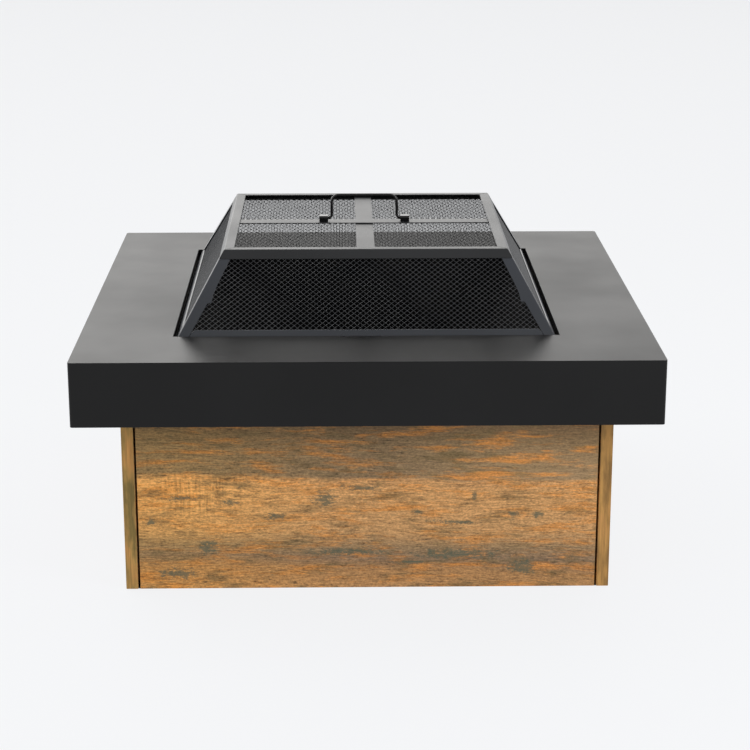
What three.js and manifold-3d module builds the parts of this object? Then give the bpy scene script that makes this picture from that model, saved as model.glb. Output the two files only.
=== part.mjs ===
// A square fire pit table: a folded steel mantel on a wood-look base, a drop-in fire bowl with a log
// grate in it, and a loose spark screen of expanded metal with a folding wire handle.
// Millimetres, +Z up, the front faces -Y, and the origin is on the floor under the middle of the table.
import * as THREE from "three";
import { mergeVertices } from "three/addons/utils/BufferGeometryUtils.js";
import Module from "manifold-3d";

const wasm = await Module();
wasm.setup();

// ---- Driving dimensions ----
const GAP = 0.3; // air between pieces that touch

// Mantel: one folded sheet, square in plan
const MANTEL_WIDTH = 762;
const MANTEL_TOP = 332;
const MANTEL_DEPTH = 86;
const MANTEL_SHEET = 1.5;
const RETURN_FLANGE = 20; // turned in under the skirt
const OPENING_WIDTH = 512.5;
const LEDGE_DROP = 10.5; // from the top face down to the ledge that carries the bowl
const LEDGE_REACH = 13.5;
const STUD_RADIUS = 3;
const STUD_LENGTH = 16;
const STUD_PLACE = 290; // from the middle, along X and along Y

// Base: four boards on steel corner posts
const BASE_WIDTH = 646;
const BOARD = 16;
const BOARD_JOINT = 2.7; // open joint beside the front and rear boards
const BOARD_SETBACK = 1; // the front board stands this far behind the side boards' edges
const POST_LEG = 28;
const POST_SHEET = 2;
const POST_FOOT = 3;
const POST_TOP = 325;
const SCREW_HEIGHT = 160;
const SCREW_INSET = 15; // from a post's corner
const SCREW_RADIUS = 1.8;
const SCREW_HEAD_RADIUS = 3.8;
const SCREW_HEAD = 2.2;
const SCREW_LENGTH = 13;
const PILOT_RADIUS = 2.2;
const NUT_RADIUS = 5.8;
const NUT_HEIGHT = 5;
const NUT_BORE_RADIUS = 3.4;
const STUD_HOLE_RADIUS = 3.6;

// Fire bowl: square, tapered, with a hemmed rim
const BOWL_RIM_HALF = 254.8;
const BOWL_RIM_THICK = 3.6;
const BOWL_MOUTH_HALF = 237;
const BOWL_FLOOR_HALF = 176.5;
const BOWL_DEPTH = 141.4; // inside, from the rim's top to the floor
const BOWL_SHEET = 2;
const BOWL_WALL = 2.2; // measured across, so the sloping sheet itself is 2

// Log grate: five bars on two footed rails
const BAR = 12;
const BAR_LENGTH = 300;
const BAR_COUNT = 5;
const BAR_PITCH = 55;
const RAIL_HEIGHT = 10;
const RAIL_LENGTH = 290;
const RAIL_PLACE = 90;
const LEG_HEIGHT = 18.7;
const LEG_PLACE = 110;

// Spark screen: a four-sided frustum of strip and expanded metal
const SCREEN_HALF_AT_MANTEL = 249.5; // half width where its sides pass the mantel's top face
const SCREEN_TOP_HALF = 190.5;
const SCREEN_RISE = 102.5; // from the mantel's top face
const STRIP = 1.5;
const TOP_FLANGE = 13;
const TOP_DROP = 11.6;
const RAIL_RISE = 11.7;
const FOOT_FLANGE = 12;
const MESH_SHEET = 1.2;
const EAR_BOTTOM = 370; // lower end of the ear on each leg of a corner strip
const BAR_WIDTH = 25;

// Handle: a wire bail that turns in two clips
const WIRE_RADIUS = 2;
const HANDLE_HALF = 46.5;
const HANDLE_RISE = 33.5;
const PIVOT_HEIGHT = 4.2; // above the cross bar
const GRIP_BEND = 10;
const ANKLE_BEND = 6;
const CLIP_PLACE = 58;
const CLIP_WIDTH = 12.5;
const CLIP_DEPTH = 15;
const CLIP_HEIGHT = 8;
const CLIP_BORE_RADIUS = 2.4;

// ---- Heights and slopes that follow ----
const MANTEL_BOTTOM = MANTEL_TOP - MANTEL_DEPTH;
const MANTEL_HALF = MANTEL_WIDTH / 2;
const OPENING_HALF = OPENING_WIDTH / 2;
const LEDGE_TOP = MANTEL_TOP - LEDGE_DROP;
const MANTEL_UNDERSIDE = MANTEL_TOP - MANTEL_SHEET;
const BOARD_TOP = MANTEL_UNDERSIDE - GAP;
const BASE_HALF = BASE_WIDTH / 2;
const BOARD_INNER = BASE_HALF - BOARD;
const FRONT_BOARD_HALF = BOARD_INNER - BOARD_JOINT;
const FRONT_BOARD_INNER = BASE_HALF - BOARD_SETBACK - BOARD;
const BOWL_RIM_BOTTOM = LEDGE_TOP + GAP;
const BOWL_RIM_TOP = BOWL_RIM_BOTTOM + BOWL_RIM_THICK;
const BOWL_FLOOR = BOWL_RIM_TOP - BOWL_DEPTH;
const RAIL_BOTTOM = BOWL_FLOOR + GAP + LEG_HEIGHT;
const RAIL_TOP = RAIL_BOTTOM + RAIL_HEIGHT;
const SCREEN_FOOT = BOWL_RIM_TOP + GAP;
const SCREEN_TOP = MANTEL_TOP + SCREEN_RISE;
const LEAN = (SCREEN_HALF_AT_MANTEL - SCREEN_TOP_HALF) / SCREEN_RISE; // inwards for each mm up
const ACROSS = Math.hypot(1, LEAN); // a sloping sheet's thickness as measured along the floor
const TOP_STRIP_BOTTOM = SCREEN_TOP - TOP_DROP;
const CROSS_BAR_TOP = SCREEN_TOP - STRIP - 2 * GAP - 0.1;
const CROSS_BAR_BOTTOM = CROSS_BAR_TOP - STRIP;
const CENTRE_BAR_TOP = CROSS_BAR_BOTTOM - GAP;
const CENTRE_BAR_BOTTOM = CENTRE_BAR_TOP - STRIP;
const TOP_MESH_TOP = CENTRE_BAR_BOTTOM - GAP;
const PIVOT = CROSS_BAR_TOP + PIVOT_HEIGHT;

const SIDES = ["front", "right", "rear", "left"]; // each a quarter turn on from the one before
const CORNERS = ["front_left", "front_right", "rear_right", "rear_left"];
const QUARTER = Math.PI / 2;

// ---- Materials ----
const finish = (color, roughness, metalness) =>
  new THREE.MeshStandardMaterial({ color, roughness, metalness });
const powderCoat = finish(0x3c3d3f, 0.45, 0.4);
const screenCoat = finish(0x4b4d51, 0.4, 0.5);
const meshCoat = finish(0x3a3c3e, 0.5, 0.5);
const bowlSteel = finish(0x1b1b1c, 0.7, 0.3);
const grateSteel = finish(0x232323, 0.8, 0.3);
const woodBoard = finish(0xa8733a, 0.6, 0);
const zinc = finish(0x9a9a98, 0.35, 0.9);
const blackWire = finish(0x141415, 0.35, 0.6);
const blackPlastic = finish(0x0d0d0e, 0.25, 0);

// ---- Geometry helpers ----
function bare(geometry) {
  geometry.deleteAttribute("normal");
  geometry.deleteAttribute("uv");
  return mergeVertices(geometry, 1e-3);
}

function toSolid(geometry) {
  const merged = bare(geometry);
  return new wasm.Manifold(
    new wasm.Mesh({
      numProp: 3,
      vertProperties: merged.attributes.position.array,
      triVerts: new Uint32Array(merged.index.array),
    }),
  );
}

function toGeometry(solid) {
  const mesh = solid.getMesh();
  const geometry = new THREE.BufferGeometry();
  geometry.setAttribute("position", new THREE.BufferAttribute(mesh.vertProperties, 3));
  geometry.setIndex(new THREE.BufferAttribute(mesh.triVerts, 1));
  geometry.computeVertexNormals();
  return geometry;
}

const join = (...geometries) =>
  toGeometry(geometries.map(toSolid).reduce((sum, solid) => sum.add(solid)));
const cut = (geometry, ...tools) =>
  toGeometry(tools.map(toSolid).reduce((rest, tool) => rest.subtract(tool), toSolid(geometry)));

function box(low, high) {
  const size = high.map((value, i) => value - low[i]);
  const middle = high.map((value, i) => (value + low[i]) / 2);
  return new THREE.BoxGeometry(...size).translate(...middle);
}

function outlineShape(points) {
  return new THREE.Shape(points.map(([x, y]) => new THREE.Vector2(x, y)));
}

// A cylinder from one height to another, standing at (x, y).
function upright(radius, x, y, low, high, sides = 16) {
  return new THREE.CylinderGeometry(radius, radius, high - low, sides)
    .rotateX(QUARTER)
    .translate(x, y, (low + high) / 2);
}

// A shell that is square in plan, from its profile of [half width, height] points.
function squareShell(profile) {
  const points = profile.map(([half, z]) => new THREE.Vector2(half * Math.SQRT2, z));
  return new THREE.LatheGeometry(points, 4).rotateY(QUARTER / 2).rotateX(QUARTER);
}

// The screen's half width at a height.
const screenHalf = (z) => SCREEN_HALF_AT_MANTEL - LEAN * (z - MANTEL_TOP);

// A flat plate on the screen's front slope, from its outline of [x, height] points.
function slopePlate(outline, behind, thickness) {
  const toSlope = new THREE.Matrix4().makeBasis(
    new THREE.Vector3(1, 0, 0),
    new THREE.Vector3(0, LEAN, 1),
    new THREE.Vector3(0, -ACROSS, 0),
  );
  const start = (behind + thickness) * ACROSS - SCREEN_HALF_AT_MANTEL - LEAN * MANTEL_TOP;
  toSlope.setPosition(0, start, 0);
  const plate = new THREE.ExtrudeGeometry(outlineShape(outline), {
    depth: thickness,
    bevelEnabled: false,
  });
  return plate.applyMatrix4(toSlope);
}

// A strip along the front whose ends are mitred, from its profile of [distance from the middle, height] points.
function mitredStrip(profile) {
  const strip = new THREE.ExtrudeGeometry(outlineShape(profile), { depth: 2, bevelEnabled: false });
  const place = strip.attributes.position;
  for (let i = 0; i < place.count; i++) {
    const half = place.getX(i);
    const end = 1 - place.getZ(i);
    place.setXYZ(i, end * (half - GAP), -half, place.getY(i));
  }
  return strip;
}

// ---- Assembly ----
const group = new THREE.Group();

function add(name, geometry, material, turn = 0, parent = group) {
  const mesh = new THREE.Mesh(geometry, material);
  mesh.name = name;
  mesh.rotation.z = turn * QUARTER;
  parent.add(mesh);
  return mesh;
}

// ---- Mantel: skirt, return flange, top, and a ledge inside the opening ----
function mantel() {
  const skirtInner = MANTEL_HALF - MANTEL_SHEET;
  const lipOuter = OPENING_HALF + MANTEL_SHEET;
  const ledgeInner = OPENING_HALF - LEDGE_REACH;
  const sheet = squareShell([
    [ledgeInner, LEDGE_TOP - MANTEL_SHEET],
    [lipOuter, LEDGE_TOP - MANTEL_SHEET],
    [lipOuter, MANTEL_UNDERSIDE],
    [skirtInner, MANTEL_UNDERSIDE],
    [skirtInner, MANTEL_BOTTOM + MANTEL_SHEET],
    [MANTEL_HALF - RETURN_FLANGE, MANTEL_BOTTOM + MANTEL_SHEET],
    [MANTEL_HALF - RETURN_FLANGE, MANTEL_BOTTOM],
    [MANTEL_HALF, MANTEL_BOTTOM],
    [MANTEL_HALF, MANTEL_TOP],
    [OPENING_HALF, MANTEL_TOP],
    [OPENING_HALF, LEDGE_TOP],
    [ledgeInner, LEDGE_TOP],
    [ledgeInner, LEDGE_TOP - MANTEL_SHEET],
  ]);
  const studs = [-1, 1].flatMap((sx) =>
    [-1, 1].map((sy) =>
      upright(
        STUD_RADIUS,
        sx * STUD_PLACE,
        sy * STUD_PLACE,
        MANTEL_UNDERSIDE - STUD_LENGTH,
        MANTEL_UNDERSIDE + MANTEL_SHEET / 2,
        12,
      ),
    ),
  );
  return join(sheet, ...studs);
}
add("mantel", mantel(), powderCoat);

// ---- Base boards, corner posts, nuts and screws ----
// Screw axes: each post has one into the board beside its first leg and one into the other board.
const screwAlong = BOARD_INNER - SCREW_INSET;

function pilotHoles(boardFace) {
  return [-1, 1].map((end) =>
    new THREE.CylinderGeometry(PILOT_RADIUS, PILOT_RADIUS, 2 * SCREW_LENGTH, 16).translate(
      end * screwAlong,
      boardFace,
      SCREW_HEIGHT,
    ),
  );
}

function endBoard() {
  const low = [-FRONT_BOARD_HALF, -FRONT_BOARD_INNER - BOARD, 0];
  const high = [FRONT_BOARD_HALF, -FRONT_BOARD_INNER, BOARD_TOP];
  return cut(box(low, high), ...pilotHoles(-FRONT_BOARD_INNER));
}

function sideBoard() {
  const low = [-BASE_HALF, -BASE_HALF, 0];
  const high = [BASE_HALF, -BOARD_INNER, BOARD_TOP];
  return cut(box(low, high), ...pilotHoles(-BOARD_INNER));
}

SIDES.forEach((side, turn) => {
  const board = turn % 2 ? sideBoard() : endBoard();
  add("base_panel_" + side, board, woodBoard, turn);
});

// An angle in the front left corner, closed at the top by a tab for the mantel's stud. It is mirrored about
// the diagonal for the neighbouring corners, because the end boards stand back a little.
function cornerPost(outerX, outerY) {
  const legX = box(
    [-outerX, -outerY, POST_FOOT],
    [-outerX + POST_SHEET, -outerY + POST_LEG, POST_TOP],
  );
  const legY = box(
    [-outerX, -outerY, POST_FOOT],
    [-outerX + POST_LEG, -outerY + POST_SHEET, POST_TOP],
  );
  const tab = box(
    [-outerX, -outerY, POST_TOP - POST_SHEET],
    [-outerX + POST_LEG, -outerY + POST_LEG, POST_TOP],
  );
  const screwX = new THREE.CylinderGeometry(PILOT_RADIUS, PILOT_RADIUS, 4 * POST_SHEET, 16)
    .rotateZ(QUARTER)
    .translate(-outerX, -screwAlong, SCREW_HEIGHT);
  const screwY = new THREE.CylinderGeometry(PILOT_RADIUS, PILOT_RADIUS, 4 * POST_SHEET, 16).translate(
    -screwAlong,
    -outerY,
    SCREW_HEIGHT,
  );
  const studHole = upright(
    STUD_HOLE_RADIUS,
    -STUD_PLACE,
    -STUD_PLACE,
    POST_TOP - 2 * POST_SHEET,
    POST_TOP + POST_SHEET,
  );
  return cut(join(legX, legY, tab), screwX, screwY, studHole);
}

function hexNut() {
  const top = POST_TOP - POST_SHEET - GAP;
  const body = upright(NUT_RADIUS, 0, 0, top - NUT_HEIGHT, top, 6);
  const bore = upright(NUT_BORE_RADIUS, 0, 0, top - 2 * NUT_HEIGHT, top + NUT_HEIGHT);
  return cut(body, bore).translate(-STUD_PLACE, -STUD_PLACE, 0);
}

// A pan-head screw, its head's underside at the origin and its point towards -Y.
function screw() {
  const profile = [
    [0, SCREW_HEAD],
    [SCREW_HEAD_RADIUS * 0.7, SCREW_HEAD],
    [SCREW_HEAD_RADIUS, SCREW_HEAD * 0.6],
    [SCREW_HEAD_RADIUS, 0],
    [SCREW_RADIUS, 0],
    [SCREW_RADIUS, -SCREW_LENGTH + 2 * SCREW_RADIUS],
    [0, -SCREW_LENGTH],
  ].map(([radius, along]) => new THREE.Vector2(radius, along));
  return new THREE.LatheGeometry(profile.reverse(), 12);
}

CORNERS.forEach((corner, turn) => {
  const postX = (turn % 2 ? FRONT_BOARD_INNER : BOARD_INNER) - GAP;
  const postY = (turn % 2 ? BOARD_INNER : FRONT_BOARD_INNER) - GAP;
  add("corner_post_" + corner, cornerPost(postX, postY), zinc, turn);
  add("mantel_nut_" + corner, hexNut(), zinc, turn);

  const headY = -postY + POST_SHEET + GAP;
  const headX = -postX + POST_SHEET + GAP;
  const intoEnd = screw().translate(-screwAlong, headY, SCREW_HEIGHT);
  const intoSide = screw().rotateZ(-QUARTER).translate(headX, -screwAlong, SCREW_HEIGHT);
  add("panel_screw_" + corner + "_a", intoEnd, zinc, turn);
  add("panel_screw_" + corner + "_b", intoSide, zinc, turn);
});

// ---- Fire bowl ----
function fireBowl() {
  const taper = (BOWL_MOUTH_HALF - BOWL_FLOOR_HALF) / BOWL_DEPTH;
  const outer = (z) => BOWL_FLOOR_HALF + taper * (z - BOWL_FLOOR) + BOWL_WALL;
  const underside = BOWL_FLOOR - BOWL_SHEET;
  return squareShell([
    [0, underside],
    [outer(underside), underside],
    [outer(BOWL_RIM_BOTTOM), BOWL_RIM_BOTTOM],
    [BOWL_RIM_HALF, BOWL_RIM_BOTTOM],
    [BOWL_RIM_HALF, BOWL_RIM_TOP],
    [BOWL_MOUTH_HALF, BOWL_RIM_TOP],
    [BOWL_FLOOR_HALF, BOWL_FLOOR],
    [0, BOWL_FLOOR],
  ]);
}
add("fire_bowl", fireBowl(), bowlSteel);

// ---- Log grate ----
function grateRail() {
  const foot = RAIL_BOTTOM - LEG_HEIGHT;
  const legInner = LEG_PLACE - BAR / 2;
  const legOuter = LEG_PLACE + BAR / 2;
  const half = [
    [RAIL_LENGTH / 2, RAIL_TOP],
    [RAIL_LENGTH / 2, RAIL_BOTTOM],
    [legOuter, RAIL_BOTTOM],
    [legOuter, foot],
    [legInner, foot],
    [legInner, RAIL_BOTTOM],
  ];
  const mirrored = half.map(([x, z]) => [-x, z]).reverse();
  const rail = new THREE.ExtrudeGeometry(outlineShape([...half, ...mirrored]), {
    depth: BAR,
    bevelEnabled: false,
  });
  return rail.rotateX(QUARTER).translate(0, BAR / 2, 0);
}
const grate = new THREE.Group();
group.add(grate);
["front", "rear"].forEach((end, i) => {
  const rail = add("grate_rail_" + end, grateRail(), grateSteel, 0, grate);
  rail.position.y = (2 * i - 1) * RAIL_PLACE;
});
for (let i = 0; i < BAR_COUNT; i++) {
  const bar = add("grate_bar_" + (i + 1), new THREE.BoxGeometry(BAR, BAR_LENGTH, BAR), grateSteel, 0, grate);
  bar.position.set((i - (BAR_COUNT - 1) / 2) * BAR_PITCH, 0, RAIL_TOP + GAP + BAR / 2);
}

// ---- Spark screen ----
const screen = new THREE.Group();
group.add(screen);

// One leg of a corner strip, at the left end of the front: it widens upwards, steps out into an ear and
// narrows again under the top strip. Each pair is [height, width].
function cornerLeg() {
  const inner = [
    [SCREEN_FOOT, 14.5],
    [EAR_BOTTOM, 16],
    [EAR_BOTTOM, 21],
    [EAR_BOTTOM + 10, 17.5],
    [EAR_BOTTOM + 22, 16.3],
    [TOP_STRIP_BOTTOM - GAP, 15],
  ];
  const outline = inner.map(([z, width]) => [-screenHalf(z) + width, z]);
  const top = TOP_STRIP_BOTTOM - GAP;
  outline.push([-screenHalf(top), top]);
  outline.unshift([-screenHalf(SCREEN_FOOT), SCREEN_FOOT]);
  return outline;
}

function cornerStrip() {
  const onFront = slopePlate(cornerLeg(), 0, STRIP);
  const mirrored = cornerLeg()
    .map(([x, z]) => [-x, z])
    .reverse();
  const onLeft = slopePlate(mirrored, 0, STRIP).rotateZ(-QUARTER);
  return join(onFront, onLeft);
}

// An angle under each side's top edge: a flat flange and a flange down the slope, mitred at both ends.
function topStrip() {
  const under = SCREEN_TOP - STRIP;
  const wall = STRIP * ACROSS;
  return mitredStrip([
    [SCREEN_TOP_HALF, SCREEN_TOP],
    [SCREEN_TOP_HALF - TOP_FLANGE, SCREEN_TOP],
    [SCREEN_TOP_HALF - TOP_FLANGE, under],
    [screenHalf(under) - wall, under],
    [screenHalf(TOP_STRIP_BOTTOM) - wall, TOP_STRIP_BOTTOM],
    [screenHalf(TOP_STRIP_BOTTOM), TOP_STRIP_BOTTOM],
  ]);
}

// The strip along each side's foot, between the corner strips, with a flange turned in to stand on the rim.
function footStrip() {
  const end = (z) => screenHalf(z) - 15.3;
  const top = SCREEN_FOOT + RAIL_RISE;
  const round = 3;
  const outline = [
    [-end(SCREEN_FOOT), SCREEN_FOOT],
    [end(SCREEN_FOOT), SCREEN_FOOT],
    [end(top - round), top - round],
    [end(top) - round, top],
    [-end(top) + round, top],
    [-end(top - round), top - round],
  ];
  const wall = STRIP * ACROSS;
  const outerY = -screenHalf(SCREEN_FOOT) + wall / 2;
  const footEnd = end(SCREEN_FOOT + STRIP);
  const foot = box(
    [-footEnd, outerY, SCREEN_FOOT],
    [footEnd, outerY + FOOT_FLANGE, SCREEN_FOOT + STRIP],
  );
  return join(slopePlate(outline, 0, STRIP), foot);
}

function sideMesh() {
  const behind = STRIP + GAP;
  const inset = (behind + MESH_SHEET) * ACROSS + GAP;
  const low = SCREEN_FOOT + STRIP + GAP;
  const high = SCREEN_TOP - STRIP - GAP;
  const outline = [
    [-screenHalf(low) + inset, low],
    [screenHalf(low) - inset, low],
    [screenHalf(high) - inset, high],
    [-screenHalf(high) + inset, high],
  ];
  return slopePlate(outline, behind, MESH_SHEET);
}

// Half the room between the side meshes at a height.
const roomHalf = (z) => screenHalf(z) - (STRIP + GAP + MESH_SHEET) * ACROSS - GAP;

SIDES.forEach((side, turn) => {
  add("screen_top_strip_" + side, topStrip(), screenCoat, turn, screen);
  add("screen_foot_strip_" + side, footStrip(), screenCoat, turn, screen);
  add("screen_mesh_" + side, sideMesh(), meshCoat, turn, screen);
});
CORNERS.forEach((corner, turn) => {
  add("screen_corner_strip_" + corner, cornerStrip(), screenCoat, turn, screen);
});

function levelPlate(halfX, halfY, top, thickness) {
  return box([-halfX, -halfY, top - thickness], [halfX, halfY, top]);
}
const meshHalf = roomHalf(TOP_MESH_TOP);
const topMesh = levelPlate(meshHalf, meshHalf, TOP_MESH_TOP, MESH_SHEET);
const centreBar = levelPlate(BAR_WIDTH / 2, roomHalf(CENTRE_BAR_TOP), CENTRE_BAR_TOP, STRIP);
const crossBar = levelPlate(roomHalf(CROSS_BAR_TOP), BAR_WIDTH / 2, CROSS_BAR_TOP, STRIP);
add("screen_mesh_top", topMesh, meshCoat, 0, screen);
add("screen_centre_bar", centreBar, screenCoat, 0, screen);
add("screen_cross_bar", crossBar, screenCoat, 0, screen);

// ---- Handle and its clips ----
// An arched block on the cross bar, bored through along X for the end of the wire.
function clip() {
  const bottom = CROSS_BAR_TOP + GAP;
  const round = 3;
  const half = CLIP_DEPTH / 2;
  const shape = new THREE.Shape();
  shape.moveTo(-half, bottom);
  shape.lineTo(half, bottom);
  shape.lineTo(half, bottom + CLIP_HEIGHT - round);
  shape.absarc(half - round, bottom + CLIP_HEIGHT - round, round, 0, QUARTER, false);
  shape.lineTo(-half + round, bottom + CLIP_HEIGHT);
  shape.absarc(-half + round, bottom + CLIP_HEIGHT - round, round, QUARTER, 2 * QUARTER, false);
  const bore = new THREE.Path();
  bore.absarc(0, PIVOT, CLIP_BORE_RADIUS, 0, 4 * QUARTER, true);
  shape.holes.push(bore);
  const block = new THREE.ExtrudeGeometry(shape, {
    depth: CLIP_WIDTH,
    bevelEnabled: false,
    curveSegments: 6,
  });
  const alongX = new THREE.Matrix4().makeBasis(
    new THREE.Vector3(0, 1, 0),
    new THREE.Vector3(0, 0, 1),
    new THREE.Vector3(1, 0, 0),
  );
  return block.applyMatrix4(alongX).translate(-CLIP_WIDTH / 2, 0, 0);
}
["left", "right"].forEach((side, i) => {
  const block = add("handle_clip_" + side, clip(), blackPlastic, 0, screen);
  block.position.x = (2 * i - 1) * CLIP_PLACE;
});

// The wire: in from one clip, up round the ankle, round the grip's bend, along the grip and down again.
function handle() {
  const end = CLIP_PLACE + CLIP_WIDTH / 2 - 1.5;
  const top = PIVOT + HANDLE_RISE;
  const corner = GRIP_BEND * (1 - Math.SQRT1_2);
  const ankle = ANKLE_BEND * (1 - Math.SQRT1_2);
  const at = (x, z) => new THREE.Vector3(x, 0, z);
  const side = [
    [at(-end, PIVOT), at(-HANDLE_HALF - ANKLE_BEND, PIVOT)],
    [at(-HANDLE_HALF - ANKLE_BEND, PIVOT), at(-HANDLE_HALF - ankle, PIVOT + ankle), at(-HANDLE_HALF, PIVOT + ANKLE_BEND)],
    [at(-HANDLE_HALF, PIVOT + ANKLE_BEND), at(-HANDLE_HALF, top - GRIP_BEND)],
    [at(-HANDLE_HALF, top - GRIP_BEND), at(-HANDLE_HALF + corner, top - corner), at(-HANDLE_HALF + GRIP_BEND, top)],
  ];
  const mirror = (point) => new THREE.Vector3(-point.x, 0, point.z);
  const otherSide = side.map((run) => run.map(mirror).reverse()).reverse();
  const grip = [at(-HANDLE_HALF + GRIP_BEND, top), at(HANDLE_HALF - GRIP_BEND, top)];
  const path = new THREE.CurvePath();
  for (const run of [...side, grip, ...otherSide]) {
    if (run.length === 2) {
      path.add(new THREE.LineCurve3(run[0], run[1]));
      continue;
    }
    // A quarter bend through its own middle point
    const bend = new THREE.QuadraticBezierCurve3(
      run[0],
      run[1].clone().multiplyScalar(2).addScaledVector(run[0], -0.5).addScaledVector(run[2], -0.5),
      run[2],
    );
    path.add(bend);
  }
  const section = new THREE.Shape();
  section.absarc(0, 0, WIRE_RADIUS, 0, 4 * QUARTER, false);
  return new THREE.ExtrudeGeometry(section, {
    steps: 56,
    extrudePath: path,
    curveSegments: 10,
    bevelEnabled: false,
  });
}
add("handle", handle(), blackWire, 0, group);

export default group;
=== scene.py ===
# A square fire pit table with a spark screen: the looks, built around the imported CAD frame.
# Metres, +Z up, the front faces -Y.
import math

import bmesh
import bpy
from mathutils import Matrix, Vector


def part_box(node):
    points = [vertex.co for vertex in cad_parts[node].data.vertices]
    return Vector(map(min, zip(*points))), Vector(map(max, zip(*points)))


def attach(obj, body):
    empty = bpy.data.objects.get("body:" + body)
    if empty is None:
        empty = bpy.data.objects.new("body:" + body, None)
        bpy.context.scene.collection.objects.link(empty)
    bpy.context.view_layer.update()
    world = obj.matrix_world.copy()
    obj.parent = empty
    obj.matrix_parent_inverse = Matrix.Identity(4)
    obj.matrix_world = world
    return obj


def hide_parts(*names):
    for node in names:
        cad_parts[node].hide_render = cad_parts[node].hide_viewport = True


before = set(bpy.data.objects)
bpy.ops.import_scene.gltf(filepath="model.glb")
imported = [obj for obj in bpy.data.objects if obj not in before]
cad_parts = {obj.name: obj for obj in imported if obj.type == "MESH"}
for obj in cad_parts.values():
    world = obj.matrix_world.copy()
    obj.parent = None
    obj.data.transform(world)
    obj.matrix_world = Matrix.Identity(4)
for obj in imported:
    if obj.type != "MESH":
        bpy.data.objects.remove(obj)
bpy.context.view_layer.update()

MM = 0.001
TINY = 0.05 * MM  # two places closer than this are the same
CLEAR = 1 * MM  # two places further apart than this are different
FACING = 0.9  # a face looks along an axis when its normal holds this much of it
SIDES = ["front", "right", "rear", "left"]
CORNERS = ["front_left", "front_right", "rear_right", "rear_left"]


# ---- Materials: helpers ----
def colour(code):
    """A linear RGBA colour from an sRGB hex code."""
    parts = [int(code[i : i + 2], 16) / 255 for i in (1, 3, 5)]
    return tuple(c / 12.92 if c <= 0.04045 else ((c + 0.055) / 1.055) ** 2.4 for c in parts) + (1,)


def set_inputs(tree, node, inputs):
    """Sets a node's inputs, each to a value, an output, or a node, whose first output in use is
    linked."""
    for key, value in inputs.items():
        if isinstance(value, bpy.types.Node):
            value = next(output for output in value.outputs if output.enabled)
        if isinstance(value, bpy.types.NodeSocket):
            tree.links.new(value, node.inputs[key])
        else:
            node.inputs[key].default_value = value


def add_node(tree, kind, inputs, stops=(), **settings):
    """Adds a node with its settings, its inputs and, on a colour ramp, its stops."""
    node = tree.nodes.new("ShaderNode" + kind)
    for name, value in settings.items():
        setattr(node, name, value)
    set_inputs(tree, node, inputs)
    if stops:
        elements = node.color_ramp.elements
        while len(elements) < len(stops):
            elements.new(0.5)
        for element, (place, code) in zip(elements, stops):
            element.position = place
            element.color = colour(code)
    return node


def new_material(name):
    """A material with its node tree, its principled shader and the object coordinates."""
    material = bpy.data.materials.new(name)
    material.use_nodes = True
    tree = material.node_tree
    shader = tree.nodes["Principled BSDF"]
    place = add_node(tree, "TexCoord", {}).outputs["Object"]
    return material, tree, shader, place


def per_mm(millimetres):
    """A pattern's scale when its features are about this size."""
    return 1 / (millimetres * MM)


# ---- Materials: powder coats and metals ----
def powder_coat(name, code, cloudy_code, roughness, level):
    """Polyester powder coat, baked on steel: satin, with a faint orange peel and a slightly cloudy
    gloss."""
    material, tree, shader, place = new_material(name)
    cloud = add_node(tree, "TexNoise", {"Vector": place, "Scale": per_mm(140), "Detail": 3.0})
    tint = add_node(tree, "ValToRGB", {"Fac": cloud}, stops=[(0.35, code), (0.7, cloudy_code)])
    gloss = add_node(
        tree, "MapRange",
        {"Value": cloud, "From Min": 0.3, "From Max": 0.7,
         "To Min": roughness - 0.03, "To Max": roughness + 0.04},
    )
    peel = add_node(tree, "TexNoise", {"Vector": place, "Scale": per_mm(1.6), "Detail": 2.0})
    bump = add_node(tree, "Bump", {"Height": peel, "Strength": 0.12, "Distance": 0.1 * MM})
    set_inputs(tree, shader, {"Base Color": tint, "Roughness": gloss, "Normal": bump,
                              "IOR": 1.5, "Specular IOR Level": level})
    return material


def zinc_plate():
    """Zinc-plated steel: pale grey metal with soft spangles."""
    material, tree, shader, place = new_material("zinc_plate")
    spangle = add_node(tree, "TexVoronoi", {"Vector": place, "Scale": per_mm(4)})
    tint = add_node(tree, "ValToRGB", {"Fac": spangle}, stops=[(0.1, "#8f9090"), (0.9, "#a9a9a6")])
    set_inputs(tree, shader, {"Base Color": tint, "Metallic": 1, "Roughness": 0.42})
    return material


def mottled_finish(name, size, detail, stops, strength, height, inputs):
    """A finish whose tint and relief follow the same mottling. Its size and height are in mm."""
    material, tree, shader, place = new_material(name)
    mottle = add_node(tree, "TexNoise", {"Vector": place, "Scale": per_mm(size), "Detail": detail})
    tint = add_node(tree, "ValToRGB", {"Fac": mottle}, stops=stops)
    bump = add_node(tree, "Bump", {"Height": mottle, "Strength": strength, "Distance": height * MM})
    set_inputs(tree, shader, {"Base Color": tint, "Normal": bump, **inputs})
    return material


def heat_paint():
    """Matt heat-resisting paint on the bowl's pressed steel, with a breath of ash on it."""
    return mottled_finish(
        "heat_paint", 30, 5.0, [(0.45, "#0a0a0b"), (0.75, "#161514")], 0.2, 0.2,
        {"Roughness": 1.0, "Specular IOR Level": 0.05},
    )


def bar_iron():
    """Hot-rolled bar, painted black: a dull skin with fine scale."""
    return mottled_finish(
        "bar_iron", 5, 6.0, [(0.4, "#161616"), (0.75, "#2b2826")], 0.35, 0.3,
        {"Roughness": 0.7, "Metallic": 0.4},
    )


def gloss_black(name, roughness):
    """Stove enamel or moulded nylon: deep black and glossy, with a faint flow in it."""
    return mottled_finish(
        name, 6, 2.0, [(0.4, "#0b0b0c"), (0.7, "#151517")], 0.1, 0.1, {"Roughness": roughness}
    )


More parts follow.
